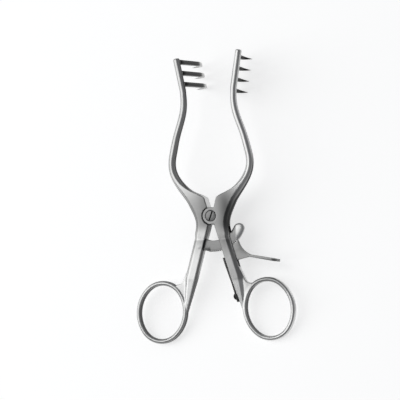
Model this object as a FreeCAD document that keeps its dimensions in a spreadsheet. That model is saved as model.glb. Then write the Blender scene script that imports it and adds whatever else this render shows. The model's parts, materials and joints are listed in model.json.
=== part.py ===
import FreeCAD, Part
import math
import os
import Sketcher

# Self retaining retractor with finger rings, a screw joint and a ratchet.
# Every size is in millimetres or degrees. The two halves are drawn with the
# points closed: X is sideways, Y runs to the points and Z is the front, where
# the screw head shows. The pivot axis is Z through the origin. Each half is
# then turned open about that axis, and the whole tool is tipped so that it
# rests on a table on its finger rings and its lowest prong.

# name, size, what it is
SIZES = [
    ("open_angle_left", 10.3, "turn of the left half from closed to the pose shown"),
    ("open_angle_right", 10.2, "turn of the right half from closed to the pose shown"),
    ("left_arm_reach", 71.1, "pivot to the end of the left arm"),
    ("right_arm_reach", 73.2, "pivot to the end of the right arm"),
    ("arm_thickness", 2.87, "round part of the arms"),
    ("arm_offset", 1.55, "centre of a closed arm from the middle plane"),
    ("neck_reach", 56.5, "pivot to where an arm turns straight"),
    ("bow_reach", 22.5, "pivot to the widest place of the bow"),
    ("bow_offset", 13.5, "middle plane to the widest place of the bow"),
    ("bow_width", 3.4, "arm width at the bow"),
    ("bow_depth", 3.9, "arm depth at the bow"),
    ("flare_offset", 11.0, "sideways place of the section above the shoulder"),
    ("flare_reach", 15.2, "height of that section"),
    ("flare_lean", 29.0, "lean of that section"),
    ("flare_width", 4.0, "width of that section"),
    ("flare_depth", 4.8, "depth of that section"),
    ("shoulder_offset", 8.3, "sideways place of the shoulder section"),
    ("shoulder_reach", 10.8, "height of that section"),
    ("shoulder_lean", 36.0, "lean of that section"),
    ("shoulder_width", 5.2, "width of that section"),
    ("shoulder_depth", 5.8, "depth of that section"),
    ("crown_offset", 5.5, "sideways place of the section above the joint"),
    ("crown_reach", 7.6, "height of that section"),
    ("crown_lean", 20.0, "lean of that section"),
    ("crown_width", 8.2, "width of that section"),
    ("joint_width", 8.1, "middle plane to the outer side of the joint"),
    ("joint_depth", 6.4, "both laps together"),
    ("hip_offset", 5.7, "sideways place of the section below the joint"),
    ("hip_reach", 4.6, "drop of that section"),
    ("hip_lean", 15.0, "lean of that section"),
    ("hip_width", 6.0, "width of that section"),
    ("shank_angle_left", 26.9, "left shank from the middle plane, closed"),
    ("shank_angle_right", 26.0, "right shank from the middle plane, closed"),
    ("shank_setback", 0.15, "flat inner side of a shank from the pivot axis"),
    ("shank_width", 5.15, "shank across"),
    ("shank_depth", 6.0, "shank front to back at the ratchet"),
    ("shank_top", 11.0, "pivot to the start of the even shank"),
    ("shank_middle", 20.0, "pivot to the middle of the shank"),
    ("shank_foot", 29.0, "pivot to where the ring branches off"),
    ("foot_depth", 5.2, "shank depth there"),
    ("inner_rise", 0.08, "bulge of the flat inner side"),
    ("outer_rise", 1.9, "bulge of the round outer side"),
    ("left_ring_along", 46.5, "pivot to the left ring centre along the shank"),
    ("right_ring_along", 45.9, "pivot to the right ring centre along the shank"),
    ("ring_half_length", 12.75, "middle of the ring limb, long half"),
    ("ring_half_width", 10.7, "middle of the ring limb, short half"),
    ("ring_end_radius", 9.5, "arc at each end of the ring"),
    ("ring_turn", 8.0, "long axis of the ring from the shank"),
    ("limb_width", 2.05, "ring limb across"),
    ("limb_depth", 3.4, "ring limb front to back"),
    ("limb_end_rise", 0.95, "bulge of the limb in front and behind"),
    ("web_start", 26.5, "pivot to where the ring web leaves the shank"),
    ("web_corner_along", 30.7, "pivot to the shank end of its hollow corner"),
    ("web_corner_inset", 5.7, "shank side to that end"),
    ("web_ring_along", 32.9, "pivot to the ring end of the hollow corner"),
    ("web_ring_inset", 7.7, "shank side to that end"),
    ("web_hollow_radius", 2.4, "hollow corner"),
    ("web_limb_along", 34.2, "pivot to where the web meets the middle of the limb"),
    ("web_limb_inset", 9.2, "shank side to that place"),
    ("web_limb_radius", 17.0, "web along the middle of the limb"),
    ("web_depth", 2.8, "web front to back"),
    ("crotch_gap", 0.4, "middle plane to the crotch face at the joint"),
    ("crotch_corner_offset", 1.1, "middle plane to the crotch corner"),
    ("crotch_corner_reach", 8.2, "pivot to the crotch corner"),
    ("crotch_arc_radius", 16.0, "hollow edge above the crotch"),
    ("crotch_exit", 0.5, "that edge past the inner side of the arm"),
    ("boss_radius", 3.8, "round boss of each lap"),
    ("lap_clearance", 0.05, "between the two laps and round each boss"),
    ("screw_radius", 1.5, "body of the pivot screw"),
    ("screw_head_radius", 2.2, "head of the pivot screw"),
    ("screw_head_height", 1.4, "head of the pivot screw"),
    ("screw_slot_width", 0.65, "driver slot"),
    ("screw_slot_depth", 0.6, "driver slot"),
    ("screw_slot_turn", 32.0, "driver slot from the middle plane"),
    ("running_clearance", 0.04, "radial, where one piece turns on another"),
    ("prong_first", 1.5, "arm end to the middle of the first prong"),
    ("prong_pitch", 5.0, "prong to prong"),
    ("left_prongs", 3, "prongs on the left arm"),
    ("right_prongs", 4, "prongs on the right arm"),
    ("prong_breadth", 1.75, "prong along the arm"),
    ("prong_root", 2.5, "prong across at the arm"),
    ("prong_waist", 1.7, "prong across where the hook starts"),
    ("prong_hook", 1.05, "prong across at its lowest place"),
    ("prong_point", 0.16, "prong across at its point"),
    ("hook_centre_depth", 18.4, "arm centre to the middle of the hook"),
    ("hook_centre_inward", 2.1, "arm centre to the middle of the hook"),
    ("hook_across", 2.65, "hook centre line, sideways half"),
    ("hook_down", 3.55, "hook centre line, downward half"),
    ("point_outward", 0.2, "point past the arm centre"),
    ("point_rise", 0.45, "point above the lowest place of the centre line"),
    ("bar_inner_radius", 10.7, "ratchet bar, pivot to its inner edge"),
    ("bar_outer_radius", 15.6, "ratchet bar, pivot to its tooth tips"),
    ("bar_thickness", 2.2, "ratchet bar front to back"),
    ("bar_sweep", 90.5, "ratchet bar from the left shank to its end"),
    ("bar_tang", 3.2, "ratchet bar let into the left shank"),
    ("bar_edge_round", 0.9, "rounding of the bulging end"),
    ("tooth_start", 11.7, "shank side to the first tooth gap"),
    ("tooth_pitch", 3.3, "tooth to tooth"),
    ("tooth_depth", 0.5, "tooth gap"),
    ("teeth", 18, "tooth gaps"),
    ("tang_pin_radius", 0.6, "pins through the tang"),
    ("tang_pin_inset", 1.7, "pins from the flat side of the shank"),
    ("tang_pin_spread", 1.2, "pins from the middle of the bar"),
    ("slot_top", 6.4, "pivot to the start of the slot in the right shank"),
    ("slot_foot", 24.6, "pivot to its end"),
    ("slot_side_clearance", 0.12, "bar to slot wall"),
    ("lever_pin_along", 18.9, "pivot to the lever pin along the shank"),
    ("lever_pin_inset", 2.6, "lever pin from the flat side of the shank"),
    ("lever_pin_radius", 0.75, "lever pin"),
    ("pawl_clearance", 0.1, "pawl to tooth tips"),
    ("pawl_outer_angle", 29.4, "shank side to the outer tip of the pawl"),
    ("pawl_inner_angle", 16.0, "shank side to the inner end of the pawl"),
    ("lever_tail", 0.35, "tail past the flat side of the shank"),
    ("lever_heel_along", 21.4, "pivot to the lower edge of the lever"),
    ("plate_start_inset", 11.2, "shank side to the root of the thumb plate"),
    ("plate_length", 13.7, "thumb plate"),
    ("plate_tilt", 27.0, "thumb plate from square to the shank"),
    ("plate_thickness", 1.0, "thumb plate"),
    ("plate_root_half", 1.7, "half width of the thumb plate at its root"),
    ("plate_half", 3.6, "half width of the thumb plate"),
    ("leaf_top", 18.9, "pivot to the free end of the leaf spring"),
    ("leaf_foot", 39.0, "pivot to the held end of the leaf spring"),
    ("leaf_bend", 30.5, "pivot to where the leaf lies flat"),
    ("leaf_thickness", 0.6, "leaf spring"),
    ("leaf_half_width", 1.8, "leaf spring"),
    ("leaf_screw_along", 36.5, "pivot to the leaf screw"),
    ("leaf_screw_radius", 0.8, "body of the leaf screw"),
    ("leaf_screw_length", 2.2, "leaf screw in the shank"),
    ("leaf_head_radius", 1.65, "domed head of the leaf screw"),
    ("leaf_head_height", 1.35, "domed head of the leaf screw"),
    ("seat_gap", 0.02, "between a fastener and what it holds"),
    ("arm_end_round", 0.6, "rounding of the end of an arm"),
    ("lever_hollow_radius", 9.0, "hollow back of the lever"),
    ("tail_length", 1.6, "flat of the lever tail under the leaf spring"),
    ("pawl_waist_inset", 1.4, "shank side to the waist of the lever over its pin"),
    ("pawl_waist_along", 16.7, "pivot to that waist"),
]

BOW_STEPS = 5
ROUND_SHARE = 0.46
TOUCH = 0.001


class Size:
    """A number together with the sheet formula that gives it."""

    def __init__(self, value, formula):
        self.value = float(value)
        self.formula = formula

    def join(self, other, sign, value):
        return Size(value, "(" + self.formula + " " + sign + " " + size(other).formula + ")")

    def __add__(self, other):
        return self.join(other, "+", self.value + size(other).value)

    def __sub__(self, other):
        return self.join(other, "-", self.value - size(other).value)

    def __mul__(self, other):
        return self.join(other, "*", self.value * size(other).value)

    def __truediv__(self, other):
        return self.join(other, "/", self.value / size(other).value)

    def __radd__(self, other):
        return size(other) + self

    def __rsub__(self, other):
        return size(other) - self

    def __rmul__(self, other):
        return size(other) * self

    def __neg__(self):
        return self * -1


def size(thing):
    if isinstance(thing, Size):
        return thing
    return Size(thing, "(" + repr(float(thing)) + ")")


def sine(angle):
    return Size(math.sin(math.radians(angle.value)), "sin(" + angle.formula + ")")


def cosine(angle):
    return Size(math.cos(math.radians(angle.value)), "cos(" + angle.formula + ")")


def lean_of(slope):
    return Size(math.degrees(math.atan(slope.value)), "atan(" + slope.formula + ") / 1deg")


def root(square):
    return Size(math.sqrt(square.value), "sqrt(" + square.formula + ")")


doc = FreeCAD.newDocument("retractor")
sheet = doc.addObject("Spreadsheet::Sheet", "sizes")
for row, (name, number, meaning) in enumerate(SIZES, start=1):
    sheet.set("A" + str(row), meaning)
    sheet.set("B" + str(row), str(number))
    sheet.setAlias("B" + str(row), name)
doc.recompute()

DIM = {}
for name, number, meaning in SIZES:
    DIM[name] = Size(number, "sizes." + name)


# Helpers for bodies, sketches and features

def new_body(label):
    body = doc.addObject("PartDesign::Body", label)
    body.Label = label
    return body


def bind(thing, prop, value):
    thing.setExpression(prop, size(value).formula)


def new_sketch(body, name, role, along=0, across=0, above=0, turn=None, axis=(0, 1, 0)):
    """A sketch on an origin plane, shifted in the plane's own axes and turned."""
    sketch = body.newObject("Sketcher::SketchObject", name)
    plane = [item for item in body.Origin.OriginFeatures if item.Role == role][0]
    sketch.AttachmentSupport = [(plane, "")]
    sketch.MapMode = "FlatFace"
    start = FreeCAD.Rotation(FreeCAD.Vector(*axis), 1.0)
    if turn is None:
        start = FreeCAD.Rotation()
    sketch.AttachmentOffset = FreeCAD.Placement(FreeCAD.Vector(), start)
    bind(sketch, "AttachmentOffset.Base.x", along)
    bind(sketch, "AttachmentOffset.Base.y", across)
    bind(sketch, "AttachmentOffset.Base.z", above)
    if turn is not None:
        bind(sketch, "AttachmentOffset.Rotation.Angle", turn)
    return sketch


def constrain(sketch, kind, geometry, end, value):
    number = sketch.addConstraint(Sketcher.Constraint(kind, -1, 1, geometry, end, value.value))
    sketch.setExpression("Constraints[" + str(number) + "]", value.formula)


def place_point(sketch, geometry, end, corner):
    constrain(sketch, "DistanceX", geometry, end, size(corner[0]))
    constrain(sketch, "DistanceY", geometry, end, size(corner[1]))


def arc_between(start, finish, radius, left):
    """The shorter arc between two corners, bulging to the left or the right of the way.

    It is always given counterclockwise, so one that bulges left runs from finish to start.
    """
    a = FreeCAD.Vector(size(start[0]).value, size(start[1]).value, 0)
    b = FreeCAD.Vector(size(finish[0]).value, size(finish[1]).value, 0)
    chord = b - a
    half = chord.Length / 2
    rise = radius - math.sqrt(max(radius * radius - half * half, 0))
    normal = FreeCAD.Vector(-chord.y, chord.x, 0)
    normal.normalize()
    if left:
        return Part.Arc(b, (a + b) * 0.5 + normal * rise, a)
    return Part.Arc(a, (a + b) * 0.5 - normal * rise, b)


def outline(sketch, corners):
    """A closed outline. Each corner is (x, y) or (x, y, radius, bulges_left): an arc leaves it."""
    count = len(corners)
    ends = []
    for number, corner in enumerate(corners):
        following = corners[(number + 1) % count]
        if len(corner) == 2:
            a = FreeCAD.Vector(size(corner[0]).value, size(corner[1]).value, 0)
            b = FreeCAD.Vector(size(following[0]).value, size(following[1]).value, 0)
            geometry = sketch.addGeometry(Part.LineSegment(a, b))
            ends.append((geometry, 1, 2))
        else:
            radius = size(corner[2])
            arc = arc_between(corner, following, radius.value, corner[3])
            geometry = sketch.addGeometry(arc)
            ends.append((geometry, 2, 1) if corner[3] else (geometry, 1, 2))
            turn = sketch.addConstraint(Sketcher.Constraint("Radius", geometry, radius.value))
            sketch.setExpression("Constraints[" + str(turn) + "]", radius.formula)
    for number, corner in enumerate(corners):
        geometry, first, last = ends[number]
        before, unused, end_before = ends[number - 1]
        sketch.addConstraint(Sketcher.Constraint("Coincident", before, end_before, geometry, first))
        place_point(sketch, geometry, first, corner)
    return sketch


def circle(sketch, x, y, radius):
    centre = FreeCAD.Vector(size(x).value, size(y).value, 0)
    geometry = sketch.addGeometry(Part.Circle(centre, FreeCAD.Vector(0, 0, 1), size(radius).value))
    place_point(sketch, geometry, 3, (x, y))
    number = sketch.addConstraint(Sketcher.Constraint("Radius", geometry, size(radius).value))
    sketch.setExpression("Constraints[" + str(number) + "]", size(radius).formula)
    return sketch


def bulging(sketch, near, far, half_depth, near_rise, far_rise):
    """A band from near to far on the first axis, flat in front and behind, bulging at its sides."""
    side = 1 if far.value > near.value else -1
    left = side < 0
    near_radius = (half_depth * half_depth + near_rise * near_rise) / (2 * near_rise)
    far_radius = (half_depth * half_depth + far_rise * far_rise) / (2 * far_rise)
    return outline(sketch, [
        (near + near_rise * side, -half_depth),
        (far - far_rise * side, -half_depth, far_radius, left),
        (far - far_rise * side, half_depth),
        (near + near_rise * side, half_depth, near_radius, left),
    ])


def round_ended(sketch, half_width, half_length, end_rise):
    """A band across the first axis with bulging ends."""
    end_radius = (half_width * half_width + end_rise * end_rise) / (2 * end_rise)
    return outline(sketch, [
        (-half_width, -half_length + end_rise, end_radius, False),
        (half_width, -half_length + end_rise),
        (half_width, half_length - end_rise, end_radius, False),
        (-half_width, half_length - end_rise),
    ])


def pad(body, sketch, length, symmetric=False, backwards=False):
    feature = body.newObject("PartDesign::Pad", sketch.Name + "_pad")
    feature.Profile = sketch
    bind(feature, "Length", length)
    if symmetric:
        feature.SideType = "Symmetric"
    feature.Reversed = backwards
    return feature


def pocket(body, sketch, length, symmetric=False, backwards=False):
    """A cut that has to take material away."""
    doc.recompute()
    before = body.Shape.Volume
    feature = body.newObject("PartDesign::Pocket", sketch.Name + "_cut")
    feature.Profile = sketch
    bind(feature, "Length", length)
    if symmetric:
        feature.SideType = "Symmetric"
    feature.Reversed = backwards
    doc.recompute()
    if not body.Shape.Volume < before - 0.001:
        raise RuntimeError(feature.Name + " takes nothing away")
    return feature


def loft(body, sections, name, ruled=False):
    feature = body.newObject("PartDesign::AdditiveLoft", name)
    feature.Profile = sections[0]
    feature.Sections = sections[1:]
    feature.Ruled = ruled
    return feature


def edges_where(shape, test):
    """Names of the edges whose every end passes a test."""
    names = []
    for number, edge in enumerate(shape.Edges, start=1):
        if all(test(vertex.Point) for vertex in edge.Vertexes):
            names.append("Edge" + str(number))
    return names


def round_edges(body, base, radius, test):
    doc.recompute()
    feature = body.newObject("PartDesign::Fillet", base.Name + "_round")
    feature.Base = (base, edges_where(base.Shape, test))
    bind(feature, "Radius", radius)
    return feature


def forged_section(body, name, side, station):
    """A section across a half; its two sides bulge by their own rise."""
    centre, lean, width, depth, inner_rise, outer_rise = station
    sketch = new_sketch(body, name, "XZ_Plane", along=centre[0] * side, above=-centre[1],
                        turn=size(lean) * -side)
    half = size(width) / 2
    return bulging(sketch, -half * side, half * side, size(depth) / 2, size(inner_rise),
                   size(outer_rise))


def along_shank(angle, along, inset):
    """Place on a shank: distance from the pivot along it, and out from its flat side."""
    out = DIM["shank_setback"] + inset
    return (along * sine(angle) + out * cosine(angle), out * sine(angle) - along * cosine(angle))


def shank_sketch(body, name, side, angle, above=0):
    """A sketch in the middle plane whose second axis runs up the flat side of a shank."""
    return new_sketch(body, name, "XY_Plane", above=above, turn=angle * side, axis=(0, 0, 1))


def shank_side_sketch(body, name, side, angle, inset):
    """A sketch in the flat side of a shank; its first axis runs up the shank."""
    out = (DIM["shank_setback"] + inset) * side
    return new_sketch(body, name, "YZ_Plane", along=out * sine(angle * side),
                      above=out * cosine(angle), turn=angle * side)


# The forged halves

def arm_stations():
    """Sections of an arm from the neck down over the bow to the crown of the joint."""
    arm = DIM["arm_thickness"]
    swing = DIM["bow_offset"] - DIM["arm_offset"]
    drop = DIM["neck_reach"] - DIM["bow_reach"]
    stations = []
    for step in range(BOW_STEPS + 1):
        share = step / BOW_STEPS
        part_turn = math.pi * share
        offset = DIM["arm_offset"] + swing * ((1 - math.cos(part_turn)) / 2)
        reach = DIM["neck_reach"] - drop * share
        slope = swing / drop * (math.pi / 2 * math.sin(part_turn))
        width = arm + (DIM["bow_width"] - arm) * share
        depth = arm + (DIM["bow_depth"] - arm) * share
        rise = width * ROUND_SHARE
        stations.append(((offset, reach), -lean_of(slope), width, depth, rise, rise))
    stations.append(((DIM["flare_offset"], DIM["flare_reach"]), DIM["flare_lean"],
                     DIM["flare_width"], DIM["flare_depth"], DIM["flare_width"] * 0.25,
                     DIM["flare_width"] * ROUND_SHARE))
    stations.append(((DIM["shoulder_offset"], DIM["shoulder_reach"]), DIM["shoulder_lean"],
                     DIM["shoulder_width"], DIM["shoulder_depth"], DIM["inner_rise"] * 2,
                     DIM["outer_rise"]))
    stations.append(((DIM["crown_offset"], DIM["crown_reach"]), DIM["crown_lean"],
                     DIM["crown_width"], DIM["joint_depth"], DIM["inner_rise"],
                     DIM["outer_rise"]))
    return stations


def joint_stations():
    """Sections beside the pivot and under it."""
    return [
        ((DIM["joint_width"] / 2, size(1.0)), size(0), DIM["joint_width"], DIM["joint_depth"],
         DIM["inner_rise"], DIM["outer_rise"]),
        ((DIM["hip_offset"], -DIM["hip_reach"]), -DIM["hip_lean"], DIM["hip_width"],
         DIM["joint_depth"], DIM["inner_rise"], DIM["outer_rise"]),
    ]


def shank_stations(angle, ring_along):
    """Sections of the straight shank; the last one ends inside the limb of the ring."""
    middle = DIM["shank_width"] / 2
    limb = DIM["limb_width"]
    runs = [
        (DIM["shank_top"], middle, DIM["shank_width"], DIM["shank_depth"], DIM["outer_rise"]),
        (DIM["shank_foot"], middle, DIM["shank_width"], DIM["foot_depth"], DIM["outer_rise"]),
        (ring_along, limb / 2, limb * 0.5, DIM["limb_depth"] * 0.7, limb * 0.2),
    ]
    return [(along_shank(angle, along, inset), -angle, width, depth, DIM["inner_rise"],
             outer_rise) for along, inset, width, depth, outer_rise in runs]


def forging(body, side, arm_reach, angle, ring_along):
    """Rod, bow, joint and shank as one bar of changing section."""
    sections = []
    for number, station in enumerate(arm_stations() + joint_stations()):
        sections.append(forged_section(body, "arm_" + str(number), side, station))
    shank = []
    for number, station in enumerate(shank_stations(angle, ring_along)):
        shank.append(forged_section(body, "shank_" + str(number), side, station))
    rod = pad(body, sections[0], arm_reach - DIM["neck_reach"], backwards=True)
    end = arm_reach.value
    round_edges(body, rod, DIM["arm_end_round"], lambda point: abs(point.y - end) < TOUCH)
    loft(body, sections + shank[:1], "bow")
    loft(body, shank, "shank", ruled=True)


def crotch_cut(body, side):
    """The ground faces of the crotch above the joint."""
    corner = (DIM["crotch_corner_offset"], DIM["crotch_corner_reach"])
    beyond = DIM["flare_width"] / 2 + DIM["crotch_exit"]
    flare_inner = (DIM["flare_offset"] - beyond * cosine(DIM["flare_lean"]),
                   DIM["flare_reach"] + beyond * sine(DIM["flare_lean"]))
    sketch = new_sketch(body, "crotch", "XY_Plane")
    left = side < 0
    outline(sketch, [
        (DIM["crotch_gap"] * side, size(0)),
        (corner[0] * side, corner[1], DIM["crotch_arc_radius"], not left),
        (flare_inner[0] * side, flare_inner[1]),
        (-DIM["flare_offset"] * side, flare_inner[1]),
        (-DIM["flare_offset"] * side, size(0)),
    ])
    pocket(body, sketch, DIM["joint_depth"] * 2, symmetric=True)


def lap(body, side):
    """Half the depth inside the boss circle, and this half's own round boss."""
    front = side < 0
    recess = new_sketch(body, "lap_recess", "XY_Plane",
                        above=(DIM["lap_clearance"] / 2) * (-1 if front else 1))
    circle(recess, 0, 0, DIM["boss_radius"] + DIM["lap_clearance"] * 2)
    pocket(body, recess, DIM["joint_depth"], backwards=front)
    boss = new_sketch(body, "boss", "XY_Plane",
                      above=(DIM["lap_clearance"] / 2) * (-1 if front else 1))
    circle(boss, 0, 0, DIM["boss_radius"])
    pad(body, boss, DIM["joint_depth"] / 2 - DIM["lap_clearance"] / 2, backwards=front)


def ring_frame(angle, ring_along):
    """Centre of the ring and the four-arc oval of its limb."""
    side_radius = ((DIM["ring_half_width"] * DIM["ring_half_width"]
                    + DIM["ring_half_length"] * DIM["ring_half_length"]
                    - 2 * DIM["ring_half_length"] * DIM["ring_end_radius"])
                   / (2 * (DIM["ring_half_width"] - DIM["ring_end_radius"])))
    side_centre = side_radius - DIM["ring_half_width"]
    inset = side_radius + DIM["limb_width"] / 2 - side_centre * cosine(DIM["ring_turn"])
    return along_shank(angle, ring_along, inset), side_radius, side_centre


def ring_outline(side_radius, side_centre):
    """Corners of the oval, where its arcs meet, from one end of its long axis."""
    end_centre = DIM["ring_half_length"] - DIM["ring_end_radius"]
    reach = side_radius - DIM["ring_end_radius"]
    meet_x = side_centre / reach * DIM["ring_end_radius"]
    meet_y = end_centre + end_centre / reach * DIM["ring_end_radius"]
    end_radius = DIM["ring_end_radius"]
    return [
        (size(0), -DIM["ring_half_length"], end_radius, False),
        (meet_x, -meet_y, side_radius, False),
        (meet_x, meet_y, end_radius, False),
        (size(0), DIM["ring_half_length"], end_radius, False),
        (-meet_x, meet_y, side_radius, False),
        (-meet_x, -meet_y, end_radius, False),
    ]


def finger_ring(body, side, angle, ring_along):
    """The ring limb, a pipe round the oval."""
    centre, side_radius, side_centre = ring_frame(angle, ring_along)
    turn = (DIM["ring_turn"] - angle) * -side
    path = new_sketch(body, "ring_path", "XY_Plane", along=centre[0] * side, across=centre[1],
                      turn=turn, axis=(0, 0, 1))
    outline(path, ring_outline(side_radius, side_centre))
    foot_x = centre[0] * side + DIM["ring_half_length"] * sine(turn)
    foot_y = centre[1] - DIM["ring_half_length"] * cosine(turn)
    limb = new_sketch(body, "ring_limb", "YZ_Plane", along=foot_y, above=foot_x, turn=turn)
    round_ended(limb, DIM["limb_width"] / 2, DIM["limb_depth"] / 2, DIM["limb_end_rise"])
    ring = body.newObject("PartDesign::AdditivePipe", "ring")
    ring.Profile = limb
    ring.Spine = (path, [])
    return ring


def ring_web(body, side, angle, ring_along):
    """The thinner web between the shank and the ring, with a hollow corner."""
    sketch = shank_sketch(body, "ring_web", side, angle)
    left = side < 0
    out = DIM["shank_setback"]
    deep = DIM["shank_width"] / 2
    outline(sketch, [
        ((out + deep) * side, -DIM["web_start"]),
        ((out + DIM["shank_width"] - DIM["inner_rise"]) * side, -DIM["web_start"]),
        ((out + DIM["web_corner_inset"]) * side, -DIM["web_corner_along"],
         DIM["web_hollow_radius"], left),
        ((out + DIM["web_ring_inset"]) * side, -DIM["web_ring_along"]),
        ((out + DIM["web_limb_inset"]) * side, -DIM["web_limb_along"],
         DIM["web_limb_radius"], left),
        ((out + DIM["limb_width"] * 0.7) * side, -(ring_along - DIM["limb_width"])),
        ((out + DIM["limb_width"] * 0.4) * side, -(ring_along - DIM["limb_width"])),
    ])
    pad(body, sketch, DIM["web_depth"], symmetric=True)


def prong_comb(body, side, arm_reach, count):
    """One hooked prong, lofted through sections square to its curve, and its copies."""
    first = arm_reach - DIM["prong_first"]
    breadth = DIM["prong_breadth"] / 2
    centre_in = DIM["hook_centre_inward"]
    centre_down = DIM["hook_centre_depth"]
    hook_in = centre_in + DIM["hook_across"]
    leg_lean = lean_of((hook_in * 0.96) / (centre_down * 0.86))
    waist = DIM["prong_waist"]
    hook = DIM["prong_hook"]
    half_turn = math.sqrt(0.5)
    leg = [
        (size(0), size(0), leg_lean, DIM["prong_root"], breadth),
        (hook_in * 0.96, centre_down * 0.86, leg_lean, waist, breadth),
    ]
    bend = [
        (hook_in, centre_down, size(0), waist * 0.85, breadth),
        (centre_in + DIM["hook_across"] * half_turn, centre_down + DIM["hook_down"] * half_turn,
         size(-42.0), (waist * 0.85 + hook) / 2, breadth * 0.95),
        (centre_in, centre_down + DIM["hook_down"], size(-88.0), hook, breadth * 0.75),
        (-DIM["point_outward"], centre_down + DIM["hook_down"] - DIM["point_rise"], size(-104.0),
         DIM["prong_point"], DIM["prong_point"] / 2),
    ]
    sections = []
    for number, (inward, down, lean, thick, half_breadth) in enumerate(leg + bend):
        sketch = new_sketch(body, "prong_" + str(number), "XY_Plane",
                            along=(DIM["arm_offset"] - inward) * side, across=first, above=-down,
                            turn=lean * side)
        sections.append(round_ended(sketch, thick / 2, half_breadth, half_breadth * 0.35))
    leg_loft = loft(body, sections[:2], "prong_leg", ruled=True)
    hook_loft = loft(body, sections[1:], "prong_hook")
    comb = body.newObject("PartDesign::LinearPattern", "comb")
    comb.Originals = [leg_loft, hook_loft]
    upward = [item for item in body.Origin.OriginFeatures if item.Role == "Y_Axis"][0]
    comb.Direction = (upward, [""])
    comb.Reversed = True
    comb.Mode = "Spacing"
    bind(comb, "Offset", DIM["prong_pitch"])
    bind(comb, "Occurrences", count)
    body.Tip = comb
    return comb


def forged_half(label, side, arm_reach, angle, ring_along, prongs):
    body = new_body(label)
    forging(body, side, arm_reach, angle, ring_along)
    finger_ring(body, side, angle, ring_along)
    ring_web(body, side, angle, ring_along)
    crotch_cut(body, side)
    lap(body, side)
    prong_comb(body, side, arm_reach, prongs)
    doc.recompute()
    return body


def drill(body, name, sketch, x, y, radius, length):
    """A straight hole both ways from its sketch."""
    circle(sketch, x, y, radius)
    pocket(body, sketch, length, symmetric=True)


LEFT = -1
RIGHT = 1
left_angle = DIM["shank_angle_left"]
right_angle = DIM["shank_angle_right"]
bar_middle = (DIM["bar_inner_radius"] + DIM["bar_outer_radius"]) / 2
far_enough = DIM["joint_depth"] * 3


def make_left_half():
    body = forged_half("left_half", LEFT, DIM["left_arm_reach"], left_angle,
                       DIM["left_ring_along"], DIM["left_prongs"])
    bore = new_sketch(body, "screw_thread", "XY_Plane")
    drill(body, "screw_thread", bore, 0, 0, DIM["screw_radius"] + DIM["seat_gap"], far_enough)
    deep = DIM["shank_setback"] + DIM["bar_tang"] + DIM["seat_gap"]
    inner = DIM["bar_inner_radius"] - DIM["seat_gap"]
    outer = DIM["bar_outer_radius"] + DIM["seat_gap"]
    mortise = shank_sketch(body, "mortise", LEFT, left_angle)
    mouth = DIM["bar_thickness"] / 2
    outline(mortise, [
        (-deep, -root(outer * outer - deep * deep), outer, False),
        (mouth, -root(outer * outer - mouth * mouth)),
        (mouth, -root(inner * inner - mouth * mouth), inner, True),
        (-deep, -root(inner * inner - deep * deep)),
    ])
    pocket(body, mortise, DIM["bar_thickness"] + DIM["seat_gap"] * 2, symmetric=True)
    for number in (-1, 1):
        hole = shank_sketch(body, "tang_hole", LEFT, left_angle)
        drill(body, "tang_hole", hole, -(DIM["shank_setback"] + DIM["tang_pin_inset"]),
              -(bar_middle + DIM["tang_pin_spread"] * number),
              DIM["tang_pin_radius"] + DIM["seat_gap"], far_enough)
    return body


def make_right_half():
    body = forged_half("right_half", RIGHT, DIM["right_arm_reach"], right_angle,
                       DIM["right_ring_along"], DIM["right_prongs"])
    bore = new_sketch(body, "screw_bore", "XY_Plane")
    drill(body, "screw_bore", bore, 0, 0, DIM["screw_radius"] + DIM["running_clearance"],
          far_enough)
    sink = new_sketch(body, "screw_sink", "XY_Plane",
                      above=DIM["joint_depth"] / 2 - DIM["screw_head_height"])
    circle(sink, 0, 0, DIM["screw_head_radius"] + DIM["running_clearance"])
    pocket(body, sink, DIM["joint_depth"], backwards=True)
    slot = shank_side_sketch(body, "ratchet_slot", RIGHT, right_angle, DIM["shank_width"] / 2)
    half = DIM["bar_thickness"] / 2 + DIM["slot_side_clearance"]
    outline(slot, [
        (-DIM["slot_foot"], -half),
        (-DIM["slot_top"], -half),
        (-DIM["slot_top"], half),
        (-DIM["slot_foot"], half),
    ])
    pocket(body, slot, DIM["shank_width"] * 3, symmetric=True)
    pin = shank_sketch(body, "lever_pin_hole", RIGHT, right_angle)
    drill(body, "lever_pin_hole", pin, DIM["shank_setback"] + DIM["lever_pin_inset"],
          -DIM["lever_pin_along"], DIM["lever_pin_radius"] + DIM["seat_gap"], far_enough)
    leaf = shank_side_sketch(body, "leaf_screw_hole", RIGHT, right_angle, size(0))
    circle(leaf, -DIM["leaf_screw_along"], 0, DIM["leaf_screw_radius"] + DIM["seat_gap"])
    pocket(body, leaf, DIM["leaf_screw_length"] + DIM["seat_gap"], backwards=True)
    return body


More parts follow.
